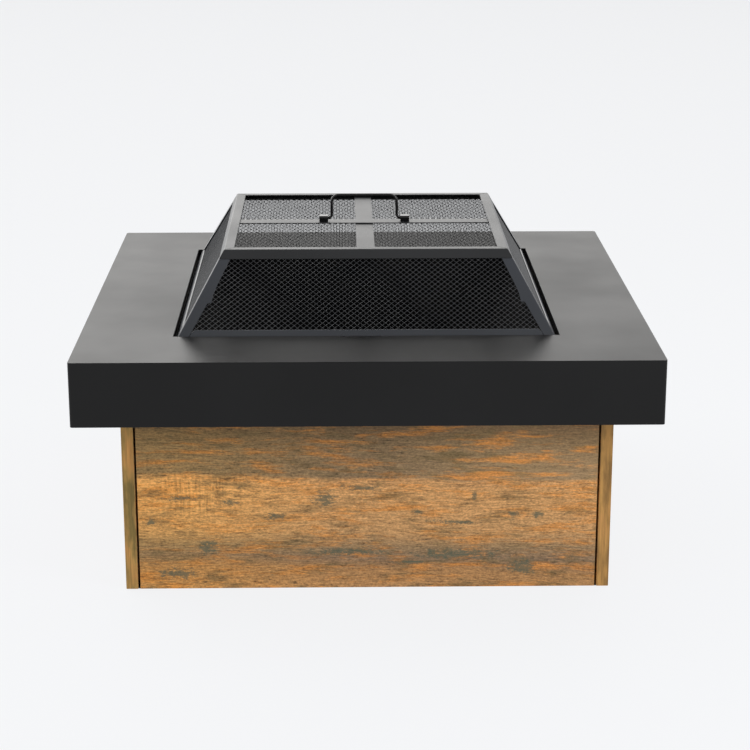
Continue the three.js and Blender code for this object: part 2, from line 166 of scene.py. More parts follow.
# ---- Materials: printed wood ----
# Knots and stains of the printed face, as (along, up, half length, half height) in mm from a
# board's middle and foot.
KNOTS = [
    (-56, 124, 15, 12),
    (-8, 142, 28, 4),
    (-213, 54, 14, 12),
    (-180, 120, 13, 4),
    (-248, 123, 24, 3),
    (-122, 100, 16, 5),
    (-288, 90, 6, 5),
    (66, 107, 8, 4),
    (114, 96, 36, 2),
    (141, 134, 4, 7),
    (194, 105, 9, 5),
    (226, 105, 7, 5),
    (207, 33, 20, 9),
    (-30, 51, 50, 5),
    (120, 50, 55, 7),
    (60, 38, 24, 3),
    (-255, 16, 26, 7),
]
# The grain's layers: how much shorter they are across than along, their height in mm, their detail
# and their roughness. The streaks are about 50 mm long and the fibres 13 mm, a little coarser than
# real print so that they show.
GRAIN = {
    "streak": (0.05, 2.6, 3.0, 0.7),
    "fibre": (0.15, 1.9, 3.0, 0.8),
    "grit": (0.6, 2.3, 2.0, 0.7),
    "pore": (0.16, 2.8, 2.0, 0.5),
    "olive": (0.2, 15, 7.0, 0.78),
    "orange": (0.12, 13, 7.0, 0.75),
    "torn": (0.45, 4.5, 5.0, 0.9),
    "speck": (0.35, 8, 6.0, 0.8),
}
# The planks' tones, as shares of the print's height and the colour there, from the foot up. The top
# stops are also darkened: painted shade under the mantel's overhang.
PLANK_TONES_AND_TOP_SHADE = [
    (0.0, "#b9844a"),
    (0.1, "#ac7b45"),
    (0.17, "#8c6d4a"),
    (0.24, "#9a784c"),
    (0.32, "#c49054"),
    (0.55, "#d29856"),
    (0.612, "#cd9455"),
    (0.63, "#8f7149"),
    (0.78, "#8a6d45"),
    (0.86, "#7e623c"),
    (1.0, "#6c4c2c"),
]
PRINT_HEIGHT = 250 * MM
PRINT_SHIFT = 37 * MM  # how far the print moves along from one side to the next
GRAIN_WANDER = 4 * MM
GRAIN_FALL = 0.02  # how far the planks drop for each unit along
SAW_MARKS = (-222, 134)  # their middle, along and up, in mm
KNOT_INK = "#4c594a"
VARNISH = {"Roughness": 0.6, "Specular IOR Level": 0.3}


def wood_board(side):
    """Cement board with a printed, sealed oak face: it shows planks of three tones, short
    horizontal fibres, blue-green knots and faint saw marks, under a dull varnish. Each side has its
    own stretch of the print. Its top is painted darker, as shade under the mantel, and one end is
    painted lighter where the room's light is dimmer."""
    quarters = SIDES.index(side)
    shift = quarters * PRINT_SHIFT
    material, tree, shader, place = new_material("printed_oak_" + side)
    turned = add_node(
        tree, "Mapping", {"Vector": place, "Rotation": (0, 0, math.radians(-90 * quarters))}
    )
    split = add_node(tree, "SeparateXYZ", {"Vector": turned})
    up = split.outputs["Z"]
    along = add_node(tree, "Math", {0: split.outputs["X"], 1: shift}, operation="ADD")

    # The grain wanders a few millimetres, and the planks run a little downhill
    face = add_node(tree, "CombineXYZ", {"X": along, "Y": shift, "Z": up})
    held = add_node(tree, "Mapping", {"Vector": face, "Scale": (1, 1, 3)})
    wander = add_node(tree, "TexNoise", {"Vector": held, "Scale": per_mm(200), "Detail": 2.0})
    wander = add_node(
        tree, "MapRange",
        {"Value": wander, "From Min": 0.3, "From Max": 0.7, "To Min": -GRAIN_WANDER,
         "To Max": GRAIN_WANDER},
    )
    level = add_node(tree, "Math", {0: up, 1: wander}, operation="ADD")
    level = add_node(tree, "Math", {0: along, 1: GRAIN_FALL, 2: level}, operation="MULTIPLY_ADD")
    grain = add_node(tree, "CombineXYZ", {"X": along, "Y": shift, "Z": level})
    layers = {}
    for layer, (across, height, detail, roughness) in GRAIN.items():
        held = add_node(tree, "Mapping", {"Vector": grain, "Scale": (across, 1, 1)})
        layers[layer] = add_node(
            tree, "TexNoise",
            {"Vector": held, "Scale": per_mm(height), "Detail": detail, "Roughness": roughness},
        )

    # The planks' own tones, drifting from gold at one end to greyer at the other. The greyer end is
    # also painted a little lighter, making up for dim light at the front board's right end
    plank = add_node(tree, "MapRange", {"Value": level, "From Max": PRINT_HEIGHT})
    # The ramp's top stops are darker: painted shade from the mantel's overhang
    ink = add_node(tree, "ValToRGB", {"Fac": plank}, stops=PLANK_TONES_AND_TOP_SHADE)
    tone_drift_and_light = add_node(tree, "MapRange", {"Value": along, "From Min": -0.24, "From Max": -0.04})
    tone_drift_and_light = add_node(
        tree, "Mix", {0: tone_drift_and_light, 4: (1.2, 1.22, 1.16), 5: (0.96, 1.03, 1.28)}, data_type="VECTOR"
    )
    ink = add_node(tree, "VectorMath", {0: ink, 1: tone_drift_and_light}, operation="MULTIPLY")
    # Patches where the print glows orange, and others where it turns olive
    for layer, low, high, most, code in (
        ("orange", 0.5, 0.6, 0.6, "#d4852f"),
        ("olive", 0.5, 0.62, 0.72, "#6d5b39"),
    ):
        share = add_node(
            tree, "MapRange",
            {"Value": layers[layer], "From Min": low, "From Max": high, "To Max": most},
        )
        ink = add_node(tree, "Mix", {0: share, 6: ink, 7: colour(code)}, data_type="RGBA")

    # Streaks, fibres and fine grit change the ink's lightness, and pores darken it
    lightness = 1.0
    for layer, strength in (("streak", 1.3), ("fibre", 2.2), ("grit", 1.6)):
        offset = add_node(tree, "Math", {0: layers[layer], 1: 0.5}, operation="SUBTRACT")
        lightness = add_node(
            tree, "Math", {0: offset, 1: strength, 2: lightness}, operation="MULTIPLY_ADD"
        )
    pores = add_node(
        tree, "MapRange",
        {"Value": layers["pore"], "From Min": 0.6, "From Max": 0.7, "To Max": -0.3},
    )
    lightness = add_node(tree, "Math", {0: lightness, 1: pores}, operation="ADD")

    # The top plank is painted lighter towards one end, lifting the shade at the front board's top
    # right
    lighter_top_end = add_node(
        tree, "MapRange", {"Value": along, "From Min": 0.02, "From Max": 0.2, "To Max": 0.42}
    )
    top_plank = add_node(
        tree, "MapRange", {"Value": level, "From Min": 152 * MM, "From Max": 158 * MM}
    )
    lightness = add_node(
        tree, "Math", {0: lighter_top_end, 1: top_plank, 2: lightness}, operation="MULTIPLY_ADD"
    )

    # Saw marks: upright scratches at one end of the middle plank
    held = add_node(tree, "Mapping", {"Vector": face, "Scale": (1, 1, 0.09)})
    saw = add_node(tree, "TexNoise", {"Vector": held, "Scale": per_mm(3.4), "Detail": 2.0})
    saw = add_node(tree, "Math", {0: saw, 1: 0.5}, operation="SUBTRACT")
    for source, middle, near, far in ((along, SAW_MARKS[0], 40, 62), (up, SAW_MARKS[1], 18, 34)):
        off = add_node(tree, "Math", {0: source, 1: middle * MM}, operation="SUBTRACT")
        off = add_node(tree, "Math", {0: off}, operation="ABSOLUTE")
        zone = add_node(
            tree, "MapRange",
            {"Value": off, "From Min": near * MM, "From Max": far * MM, "To Min": 1.0,
             "To Max": 0.12},
        )
        saw = add_node(tree, "Math", {0: saw, 1: zone}, operation="MULTIPLY")
    lightness = add_node(tree, "Math", {0: saw, 1: 1.5, 2: lightness}, operation="MULTIPLY_ADD")
    ink = add_node(tree, "VectorMath", {0: ink, "Scale": lightness}, operation="SCALE")

    # Knots and stains, torn out along the grain
    knots = 0.0
    for x, z, half_length, half_height in KNOTS:
        off = add_node(
            tree, "Mapping", {"Vector": grain, "Location": (-x * MM, -shift, -z * MM)}
        )
        off = add_node(
            tree, "VectorMath", {0: off, 1: (per_mm(half_length), 0, per_mm(half_height))},
            operation="MULTIPLY",
        )
        off = add_node(tree, "VectorMath", {0: off}, operation="LENGTH")
        knot = add_node(
            tree, "MapRange", {"Value": off, "From Max": 1.6, "To Min": 1.0, "To Max": 0.0}
        )
        knots = add_node(tree, "Math", {0: knots, 1: knot}, operation="MAXIMUM")
    torn = add_node(tree, "Math", {0: layers["torn"], 1: 0.5}, operation="SUBTRACT")
    torn = add_node(tree, "Math", {0: torn, 1: 4.5, 2: knots}, operation="MULTIPLY_ADD")
    torn = add_node(
        tree, "MapRange", {"Value": torn, "From Min": 0.42, "From Max": 0.66, "To Max": 0.72}
    )
    knots = add_node(tree, "MapRange", {"Value": knots, "From Min": 0.02, "From Max": 0.25})
    stain = add_node(tree, "Math", {0: torn, 1: knots}, operation="MULTIPLY")
    specks = add_node(
        tree, "MapRange",
        {"Value": layers["speck"], "From Min": 0.61, "From Max": 0.7, "To Max": 0.6},
    )
    stain = add_node(tree, "Math", {0: stain, 1: specks}, operation="MAXIMUM")
    ink = add_node(tree, "Mix", {0: stain, 6: ink, 7: colour(KNOT_INK)}, data_type="RGBA")

    relief = add_node(tree, "Bump", {"Height": lightness, "Strength": 0.08, "Distance": 0.2 * MM})
    set_inputs(tree, shader, {"Base Color": ink, "Normal": relief, **VARNISH})
    return material


def board_edge():
    """The boards' wrapped edges: the same print with its grain upright, olive-brown on one side of
    the table and golden on the other."""
    material, tree, shader, place = new_material("printed_oak_edge")
    held = add_node(tree, "Mapping", {"Vector": place, "Scale": (1, 1, 0.04)})
    fibre = add_node(
        tree, "TexNoise", {"Vector": held, "Scale": per_mm(2.4), "Detail": 4.0, "Roughness": 0.65}
    )
    held = add_node(tree, "Mapping", {"Vector": place, "Scale": (1, 1, 0.25)})
    patch = add_node(
        tree, "TexNoise", {"Vector": held, "Scale": per_mm(16), "Detail": 4.0, "Roughness": 0.6}
    )
    olive = add_node(
        tree, "ValToRGB", {"Fac": patch},
        stops=[(0.38, "#7d6836"), (0.52, "#a98448"), (0.66, "#c08b4d")],
    )
    golden = add_node(
        tree, "ValToRGB", {"Fac": patch},
        stops=[(0.38, "#8f6b3a"), (0.52, "#b08448"), (0.66, "#bf8c50")],
    )
    split = add_node(tree, "SeparateXYZ", {"Vector": place})
    side = add_node(
        tree, "MapRange", {"Value": split.outputs["X"], "From Min": -0.3, "From Max": 0.3}
    )
    ink = add_node(tree, "Mix", {0: side, 6: olive, 7: golden}, data_type="RGBA")
    lightness = add_node(tree, "Math", {0: fibre, 1: 1.4, 2: 0.3}, operation="MULTIPLY_ADD")
    ink = add_node(tree, "VectorMath", {0: ink, "Scale": lightness}, operation="SCALE")
    relief = add_node(tree, "Bump", {"Height": fibre, "Strength": 0.25, "Distance": 0.3 * MM})
    set_inputs(tree, shader, {"Base Color": ink, "Normal": relief, **VARNISH})
    return material


# ---- Modelling: helpers ----
SMOOTH_ANGLE = math.radians(40)  # a bend between flat faces is smoothed up to this
BEVEL_ANGLE = math.radians(50)  # an edge is rounded from this


def deselect():
    bpy.ops.object.select_all(action="DESELECT")


def make_active(obj):
    deselect()
    obj.select_set(True)
    bpy.context.view_layer.objects.active = obj


def apply_place():
    bpy.ops.object.transform_apply(location=True, rotation=True, scale=True)


def name_new(name):
    obj = bpy.context.object
    obj.name = name
    obj.data.name = name
    return obj


def new_box(name, low, high):
    """A box between two corners."""
    deselect()
    low, high = Vector(low), Vector(high)
    bpy.ops.mesh.primitive_cube_add(size=1, location=(low + high) / 2, scale=high - low)
    apply_place()
    return name_new(name)


def new_copy(obj, name, turn=0, shift=(0, 0, 0)):
    """Another of the same piece, with its own mesh, some quarter turns round the table's middle or
    moved along."""
    copy = bpy.data.objects.new(name, obj.data.copy())
    copy.data.name = name
    bpy.context.scene.collection.objects.link(copy)
    copy.rotation_euler.z = math.radians(90 * turn)
    copy.location = shift
    make_active(copy)
    apply_place()
    return copy


def edit(obj):
    make_active(obj)
    bpy.ops.object.mode_set(mode="EDIT")
    bpy.ops.mesh.select_all(action="DESELECT")


def leave():
    bpy.ops.object.mode_set(mode="OBJECT")


def pick(obj, kind, test):
    """In edit mode, selects just the faces, edges or vertices that pass a test."""
    bpy.ops.mesh.select_mode(type=kind)
    bpy.ops.mesh.select_all(action="DESELECT")
    mesh = bmesh.from_edit_mesh(obj.data)
    for element in {"FACE": mesh.faces, "EDGE": mesh.edges, "VERT": mesh.verts}[kind]:
        if test(element):
            element.select_set(True)
    bmesh.update_edit_mesh(obj.data)


def ends(edge):
    return [vertex.co for vertex in edge.verts]


def rise(edge):
    """How far apart in height an edge's ends are."""
    first, second = ends(edge)
    return abs(first.z - second.z)


def reach(point):
    """How far a point is from the middle, square in plan."""
    return max(abs(point.x), abs(point.y))


def bevel_picked(radius, segments):
    bpy.ops.mesh.bevel(offset=radius, segments=segments, affect="EDGES", clamp_overlap=True)


def push(x=0, y=0, z=0):
    bpy.ops.mesh.extrude_region_move(TRANSFORM_OT_translate={"value": (x, y, z)})


def add_modifier(obj, kind, **settings):
    """Adds a modifier and applies it."""
    make_active(obj)
    bpy.ops.object.modifier_add(type=kind)
    modifier = obj.modifiers[-1]
    for name, value in settings.items():
        setattr(modifier, name, value)
    bpy.ops.object.modifier_apply(modifier=modifier.name)


def smooth(obj):
    """Smooth bends between flat faces that stay flat."""
    make_active(obj)
    bpy.ops.object.shade_smooth_by_angle(angle=SMOOTH_ANGLE)
    add_modifier(obj, "WEIGHTED_NORMAL", keep_sharp=True, weight=60)


def round_edges(obj, radius):
    add_modifier(
        obj, "BEVEL", width=radius, segments=2, limit_method="ANGLE", angle_limit=BEVEL_ANGLE
    )
    smooth(obj)


def round_node(name, node, radius, fold=None, fold_radius=0.0):
    """A piece in a CAD node's shape: whole faces, an optional wider bend along its folds, rounded
    edges."""
    obj = new_copy(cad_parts[node], name)
    edit(obj)
    bpy.ops.mesh.select_all(action="SELECT")
    bpy.ops.mesh.remove_doubles(threshold=0.01 * MM)
    bpy.ops.mesh.dissolve_limited(angle_limit=math.radians(1))
    if fold:
        pick(obj, "EDGE", fold)
        bevel_picked(fold_radius, 4)
    leave()
    round_edges(obj, radius)
    return obj


def finish_piece(obj, body, node=None, material=None):
    """Gives a piece its material and its body, and hides the CAD node that it stands for, if it has
    one.
    """
    if material:
        obj.data.materials.clear()
        obj.data.materials.append(material)
    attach(obj, body)
    if node:
        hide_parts(node)


def finish_ring(first, names, nodes, places, body, material, quarters=1):
    """Finishes a piece and its copies, each so many quarter turns on from the one before."""
    for count, place in enumerate(places):
        piece = new_copy(first, names + place, turn=count * quarters) if count else first
        finish_piece(piece, body, nodes and nodes + place, material)


# ---- Mantel ----
SHEET = 1.5 * MM
LEDGE_DROP = 10.5 * MM
LEDGE_REACH = 13.5 * MM
RETURN_FLANGE = 20 * MM
RIM_PLAY = 1.45 * MM  # between the bowl's rim and the opening's lip
SKIRT_CORNER = 4 * MM
FOLD = 0.8 * MM
SHEET_EASE = 0.3 * MM
STUD_PLACE = 290 * MM
STUD_RADIUS = 3 * MM
STUD_LENGTH = 16 * MM
STUD_CHAMFER = 0.6 * MM


def make_mantel(material):
    """One folded sheet: a box with its opening inset in the top, and a lip and ledge drawn down."""
    low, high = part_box("mantel")
    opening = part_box("fire_bowl")[1].x + RIM_PLAY
    sheet = new_box("mantel_sheet", low, high)
    edit(sheet)
    pick(sheet, "FACE", lambda f: f.normal.z > FACING)
    bpy.ops.mesh.inset(thickness=high.x - opening)
    push(z=-LEDGE_DROP)
    bpy.ops.mesh.inset(thickness=LEDGE_REACH)
    bpy.ops.mesh.delete(type="FACE")
    pick(sheet, "FACE", lambda f: f.normal.z < -FACING)
    bpy.ops.mesh.inset(thickness=RETURN_FLANGE)
    bpy.ops.mesh.delete(type="FACE")
    pick(
        sheet, "EDGE",
        lambda e: all(reach(p) > opening + CLEAR for p in ends(e)) and rise(e) > CLEAR,
    )
    bevel_picked(SKIRT_CORNER, 5)
    # The long folds: round the top, round the skirt's foot, round the opening
    for test in (
        lambda p: p.z > high.z - TINY and reach(p) > opening + CLEAR,
        lambda p: p.z < low.z + TINY and reach(p) > high.x - SKIRT_CORNER,
        lambda p: p.z > high.z - TINY and reach(p) < opening + CLEAR,
    ):
        pick(sheet, "EDGE", lambda e: all(test(p) for p in ends(e)))
        bevel_picked(FOLD, 3)
    leave()
    add_modifier(sheet, "SOLIDIFY", thickness=SHEET, offset=-1, use_even_offset=True)
    round_edges(sheet, SHEET_EASE)
    finish_piece(sheet, "stand", "mantel", material)


def make_studs(material):
    """Studs welded under the mantel: turned, with a chamfered tip."""
    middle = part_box("mantel")[1].z - SHEET - STUD_LENGTH / 2
    deselect()
    bpy.ops.mesh.primitive_cylinder_add(
        vertices=20, radius=STUD_RADIUS, depth=STUD_LENGTH,
        location=(-STUD_PLACE, -STUD_PLACE, middle),
    )
    apply_place()
    stud = name_new("mantel_stud_front_left")
    edit(stud)
    pick(stud, "FACE", lambda f: f.normal.z < -FACING)
    bpy.ops.mesh.inset(thickness=STUD_CHAMFER)
    bpy.ops.transform.translate(value=(0, 0, -STUD_CHAMFER))
    leave()
    smooth(stud)
    finish_ring(stud, "mantel_stud_", None, CORNERS, "stand", material)


# ---- Base ----
FOOT_WEAR = 1.2 * MM
BOARD_EASE = 0.7 * MM
POST_EASE = 0.4 * MM


def make_board(side, edge_print):
    """A board from its CAD box: eased edges, and a side board's foot a little worn at its ends."""
    low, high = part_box("base_panel_" + side)
    board = new_box("board_" + side, low, high)
    is_side = side in ("left", "right")
    for material in (wood_board(side), edge_print):
        board.data.materials.append(material)
    edit(board)
    pick(board, "FACE", lambda f: abs(f.normal.y if is_side else f.normal.x) > FACING)
    board.active_material_index = 1
    bpy.ops.object.material_slot_assign()
    if is_side:
        pick(
            board, "EDGE",
            lambda e: all(p.z < TINY for p in ends(e)) and abs(ends(e)[0].x - ends(e)[1].x) > CLEAR,
        )
        bevel_picked(FOOT_WEAR, 3)
    leave()
    round_edges(board, BOARD_EASE)
    return board


def make_base(edge_print, steel_coat, zinc):
    """The four boards, the posts inside their corners, and the nuts and screws that hold them."""
    for side, opposite in (("front", "rear"), ("right", "left")):
        board = make_board(side, edge_print)
        other = new_copy(board, "board_" + opposite, turn=2)
        other.data.materials[0] = wood_board(opposite)
        finish_piece(board, "stand", "base_panel_" + side)
        finish_piece(other, "stand", "base_panel_" + opposite)
    for corner in CORNERS:
        post = round_node("post_" + corner, "corner_post_" + corner, POST_EASE)
        finish_piece(post, "stand", "corner_post_" + corner, steel_coat)
    for name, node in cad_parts.items():
        if name.startswith(("mantel_nut_", "panel_screw_")):
            node.data.materials.clear()
            node.data.materials.append(zinc)


# ---- Fire bowl ----
BOWL_SHEET = 1.7 * MM
BOWL_MOUTH = 237 * MM  # half widths
BOWL_FLOOR = 176.5 * MM
HEM_REACH = 12 * MM
HEM_DROP = 3.6 * MM
DRAWN_CORNER = 18 * MM
FLOOR_BEND = 9 * MM
MOUTH_BEND = 2.5 * MM
HEM_EASE = 0.4 * MM


def make_bowl(material):
    """A pressed bowl: a plate with a hemmed rim, its middle drawn down and in, and its corners
    rounded."""
    low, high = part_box("fire_bowl")
    floor = low.z + BOWL_SHEET
    deselect()
    bpy.ops.mesh.primitive_plane_add(size=2 * high.x, location=(0, 0, high.z))
    apply_place()
    bowl = name_new("bowl_pressing")
    edit(bowl)
    bpy.ops.mesh.select_all(action="SELECT")
    bpy.ops.mesh.inset(thickness=high.x - BOWL_MOUTH)
    push(z=floor - high.z)
    share = BOWL_FLOOR / BOWL_MOUTH
    bpy.ops.transform.resize(value=(share, share, 1), center_override=(0, 0, high.z))
    pick(bowl, "EDGE", lambda e: e.is_boundary)
    push(z=-HEM_DROP)
    push()
    share = (high.x - HEM_REACH) / high.x
    bpy.ops.transform.resize(value=(share, share, 1), center_override=(0, 0, high.z))
    # Drawn corners, then the bends round the floor and the mouth
    pick(bowl, "EDGE", lambda e: rise(e) > HEM_REACH)
    bevel_picked(DRAWN_CORNER, 6)
    pick(bowl, "EDGE", lambda e: all(p.z < floor + TINY for p in ends(e)))
    bevel_picked(FLOOR_BEND, 4)
    pick(
        bowl, "EDGE",
        lambda e: all(p.z > high.z - TINY and reach(p) < BOWL_MOUTH + TINY for p in ends(e))
        and any(f.normal.z < FACING for f in e.link_faces),
    )
    bevel_picked(MOUTH_BEND, 3)
    leave()
    add_modifier(bowl, "SOLIDIFY", thickness=BOWL_SHEET, offset=-1, use_even_offset=True)
    round_edges(bowl, HEM_EASE)
    finish_piece(bowl, "bowl", "fire_bowl", material)


# ---- Log grate ----
IRON_EASE = 1 * MM


def make_grate(iron):
    """Two footed rails, and five bars across them."""
    rail = round_node("rail_front", "grate_rail_front", IRON_EASE)
    finish_ring(
        rail, "rail_", "grate_rail_", ("front", "rear"), "grate", iron, quarters=2
    )
    bar = round_node("bar_1", "grate_bar_1", IRON_EASE)
    finish_piece(bar, "grate", "grate_bar_1", iron)
    for number in ("2", "3", "4", "5"):
        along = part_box("grate_bar_" + number)[0].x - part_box("grate_bar_1")[0].x
        other = new_copy(bar, "bar_" + number, shift=(along, 0, 0))
        finish_piece(other, "grate", "grate_bar_" + number, iron)


# ---- Spark screen: expanded metal ----
DIAMOND_WIDE = 8.38 * MM
DIAMOND_HIGH = 6.67 * MM
SIDE_STRAND = {"half": 0.32 * MM, "twist": 0.44 * MM, "sheet": 0.3 * MM}
TOP_STRAND = {"half": 0.36 * MM, "twist": 0.5 * MM, "sheet": 0.28 * MM}
MESH_ACROSS = 1.385 * MM  # the leaning sheet's CAD thickness, measured along the floor


def expanded_sheet(name, cells, strand):
    """A sheet of slit and stretched steel: a diamond net whose strands all lean the same way."""
    deselect()
    bpy.ops.mesh.primitive_grid_add(x_subdivisions=cells, y_subdivisions=cells, size=cells)
    bpy.context.object.rotation_euler.z = math.radians(45)
    apply_place()
    bpy.context.object.scale = (DIAMOND_WIDE / math.sqrt(2), DIAMOND_HIGH / math.sqrt(2), 1)
    apply_place()
    sheet = name_new(name)
    edit(sheet)
    bpy.ops.mesh.select_all(action="SELECT")
    bpy.ops.mesh.inset(thickness=strand["half"], use_individual=True)
    mesh = bmesh.from_edit_mesh(sheet.data)
    holes = [face for face in mesh.faces if face.select]
    tops = {max(face.verts, key=lambda v: v.co.y).index for face in holes}
    bottoms = {min(face.verts, key=lambda v: v.co.y).index for face in holes}
    bpy.ops.mesh.delete(type="ONLY_FACE")
    for group, lift in ((tops, strand["twist"]), (bottoms, -strand["twist"])):
        pick(sheet, "VERT", lambda v: v.index in group)
        bpy.ops.transform.translate(value=(0, 0, lift))
    leave()
    return sheet


def trim(sheet, planes):
    """Cuts away what lies beyond each plane, given as a point and its outward direction."""
    edit(sheet)
    for point, normal in planes:
        bpy.ops.mesh.select_all(action="SELECT")
        bpy.ops.mesh.bisect(plane_co=point, plane_no=normal, clear_outer=True)
    leave()


def thicken(sheet, strand):
    add_modifier(sheet, "SOLIDIFY", thickness=strand["sheet"], offset=0)
    make_active(sheet)
    bpy.ops.object.shade_flat()


def make_slope_sheets(material):
    """The front sheet, trimmed to its trapezium and leaned back on the slope, and its copies."""
    low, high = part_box("screen_mesh_front")
    back, height = high.y - low.y - MESH_ACROSS, high.z - low.z
    length = math.hypot(back, height)
    taper = back / length  # the ends lean in as much as the face does
    sheet = expanded_sheet("expanded_sheet_front", 82, SIDE_STRAND)
    trim(sheet, (
        ((0, length, 0), (0, 1, 0)),
        ((0, 0, 0), (0, -1, 0)),
        ((high.x, 0, 0), (1, taper, 0)),
        ((-high.x, 0, 0), (-1, taper, 0)),
    ))
    thicken(sheet, SIDE_STRAND)
    sheet.rotation_euler.x = math.radians(90) - math.atan2(back, height)
    sheet.location = (0, low.y + MESH_ACROSS / 2, low.z)
    make_active(sheet)
    apply_place()
    finish_ring(
        sheet, "expanded_sheet_", "screen_mesh_", SIDES, "spark_screen", material
    )


def make_top_sheet(material):
    low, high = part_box("screen_mesh_top")
    sheet = expanded_sheet("expanded_sheet_top", 106, TOP_STRAND)
    ways = ((1, 0), (-1, 0), (0, 1), (0, -1))
    trim(sheet, [((x * high.x, y * high.y, 0), (x, y, 0)) for x, y in ways])
    thicken(sheet, TOP_STRAND)
    sheet.location.z = (low.z + high.z) / 2
    make_active(sheet)
    apply_place()
    finish_piece(sheet, "spark_screen", "screen_mesh_top", material)


# ---- Spark screen: strips ----
SCREEN_LEAN = 0.5756  # inwards for each unit up
TOP_FOLD = 189 * MM  # the top strips' outer fold is further out than this
STRIP_FOLD = 1.3 * MM
STRIP_EASE = 0.35 * MM
FOOT_EASE = 0.4 * MM
BAR_EASE = 0.5 * MM


def make_strips(material, bar_material):
    """Strip steel angles down the corners and round the top and the foot, and two flat bars."""
    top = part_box("screen_top_strip_front")[1].z
    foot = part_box("screen_foot_strip_front")[0].z
    outer_foot = -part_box("screen_corner_strip_front_left")[0].x
    near = 0.1 * MM

    def on_corner(p):
        half = outer_foot - SCREEN_LEAN * (p.z - foot)
        return abs(abs(p.x) - half) < near and abs(abs(p.y) - half) < near

    def on_top_fold(p):
        return p.z > top - near and reach(p) > TOP_FOLD

    for kind, places, coat, ease, on_fold in (
        ("corner_strip_", CORNERS, material, STRIP_EASE, on_corner),
        ("top_strip_", SIDES, bar_material, STRIP_EASE, on_top_fold),
        ("foot_strip_", SIDES, material, FOOT_EASE, None),
    ):
        fold = on_fold and (lambda e: all(on_fold(p) for p in ends(e)))
        strip = round_node(kind + places[0], "screen_" + kind + places[0], ease, fold, STRIP_FOLD)
        finish_ring(
            strip, kind, "screen_" + kind, places, "spark_screen", coat
        )
    for kind in ("centre_bar", "cross_bar"):
        bar = round_node(kind, "screen_" + kind, BAR_EASE)
        finish_piece(bar, "spark_screen", "screen_" + kind, bar_material)


# ---- Handle ----
WIRE_LEG = 46.5 * MM  # from the middle to each leg
WIRE_ANKLE = 6 * MM  # the radius of the bends at the legs' feet
WIRE_SHOULDER = 10 * MM  # and at the grip's ends


def make_handle(material):
    """A wire bail: a round section pushed and spun along its bends."""
    low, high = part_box("handle")
    wire = (high.y - low.y) / 2
    grip = high.z - wire
    pivot = low.z + wire
    leg_length = grip - WIRE_SHOULDER - pivot - WIRE_ANKLE
    deselect()
    bpy.ops.mesh.primitive_circle_add(
        vertices=20, radius=wire, fill_type="NGON", location=(low.x, 0, pivot),
        rotation=(0, math.radians(90), 0),
    )
    apply_place()
    handle = name_new("handle_bail")

    def bend_wire(x, z, turn, steps):
        bpy.ops.mesh.spin(
            steps=steps, angle=math.radians(turn), center=(x, 0, z), axis=(0, 1, 0)
        )

    edit(handle)
    bpy.ops.mesh.select_all(action="SELECT")
    push(x=-WIRE_LEG - WIRE_ANKLE - low.x)
    bend_wire(-WIRE_LEG - WIRE_ANKLE, pivot + WIRE_ANKLE, 90, 8)
    push(z=leg_length)
    bend_wire(-WIRE_LEG + WIRE_SHOULDER, grip - WIRE_SHOULDER, -90, 12)
    push(x=2 * (WIRE_LEG - WIRE_SHOULDER))
    bend_wire(WIRE_LEG - WIRE_SHOULDER, grip - WIRE_SHOULDER, -90, 12)
    push(z=-leg_length)
    bend_wire(WIRE_LEG + WIRE_ANKLE, pivot + WIRE_ANKLE, 90, 8)
    push(x=high.x - WIRE_LEG - WIRE_ANKLE)
    bpy.ops.mesh.select_all(action="SELECT")
    bpy.ops.mesh.remove_doubles(threshold=0.005 * MM)
    bpy.ops.mesh.normals_make_consistent(inside=False)
    leave()
    smooth(handle)
    finish_piece(handle, "bail", "handle", material)


CLIP_EASE = 0.6 * MM


def make_clips(material):
    """Two moulded clips that hold the wire down."""
    clip = round_node("wire_clip_left", "handle_clip_left", CLIP_EASE)
    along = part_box("handle_clip_right")[0].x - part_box("handle_clip_left")[0].x
    other = new_copy(clip, "wire_clip_right", shift=(along, 0, 0))
    finish_piece(clip, "spark_screen", "handle_clip_left", material)
    finish_piece(other, "spark_screen", "handle_clip_right", material)


# ---- Camera and studio ----
CAMERA_PLACE = Vector((-0.035, -2.835, 1.042))
CAMERA_PITCH = 16.51  # degrees below the horizon
CAMERA_YAW = 1.02  # degrees to the right of +Y
CAMERA_LENS = 96.8
FLOOR_GLOW = 0.862
FLOOR_FADE = 0.09  # how much of the glow is gone far behind the table
ROOM_FRONT, ROOM_REAR, ROOM_CEILING = 0.5, 2.05, 0.5
ROOM_RIGHT = -0.85  # how much the room gains for each unit to the right
# The softboxes, as place, aim, width, height and watts.
SOFTBOXES = {
    "key_softbox": ((1.8, -1.4, 1.3), (0.1, 0, 0.3), 0.9, 1.2, 20),
    "overhead_right": ((0.7, 0.3, 1.6), (0.1, -0.1, 0.4), 0.9, 0.9, 3),
    "overhead_left": ((-0.9, 0.3, 1.6), (-0.1, -0.1, 0.4), 0.5, 0.9, 2),
}


def make_camera():
    data = bpy.data.cameras.new("camera")
    data.lens = CAMERA_LENS
    data.sensor_width = 36
    camera = bpy.data.objects.new("camera", data)
    camera.location = CAMERA_PLACE
    camera.rotation_euler = (math.radians(90 - CAMERA_PITCH), 0, math.radians(-CAMERA_YAW))
    bpy.context.scene.collection.objects.link(camera)
    bpy.context.scene.camera = camera


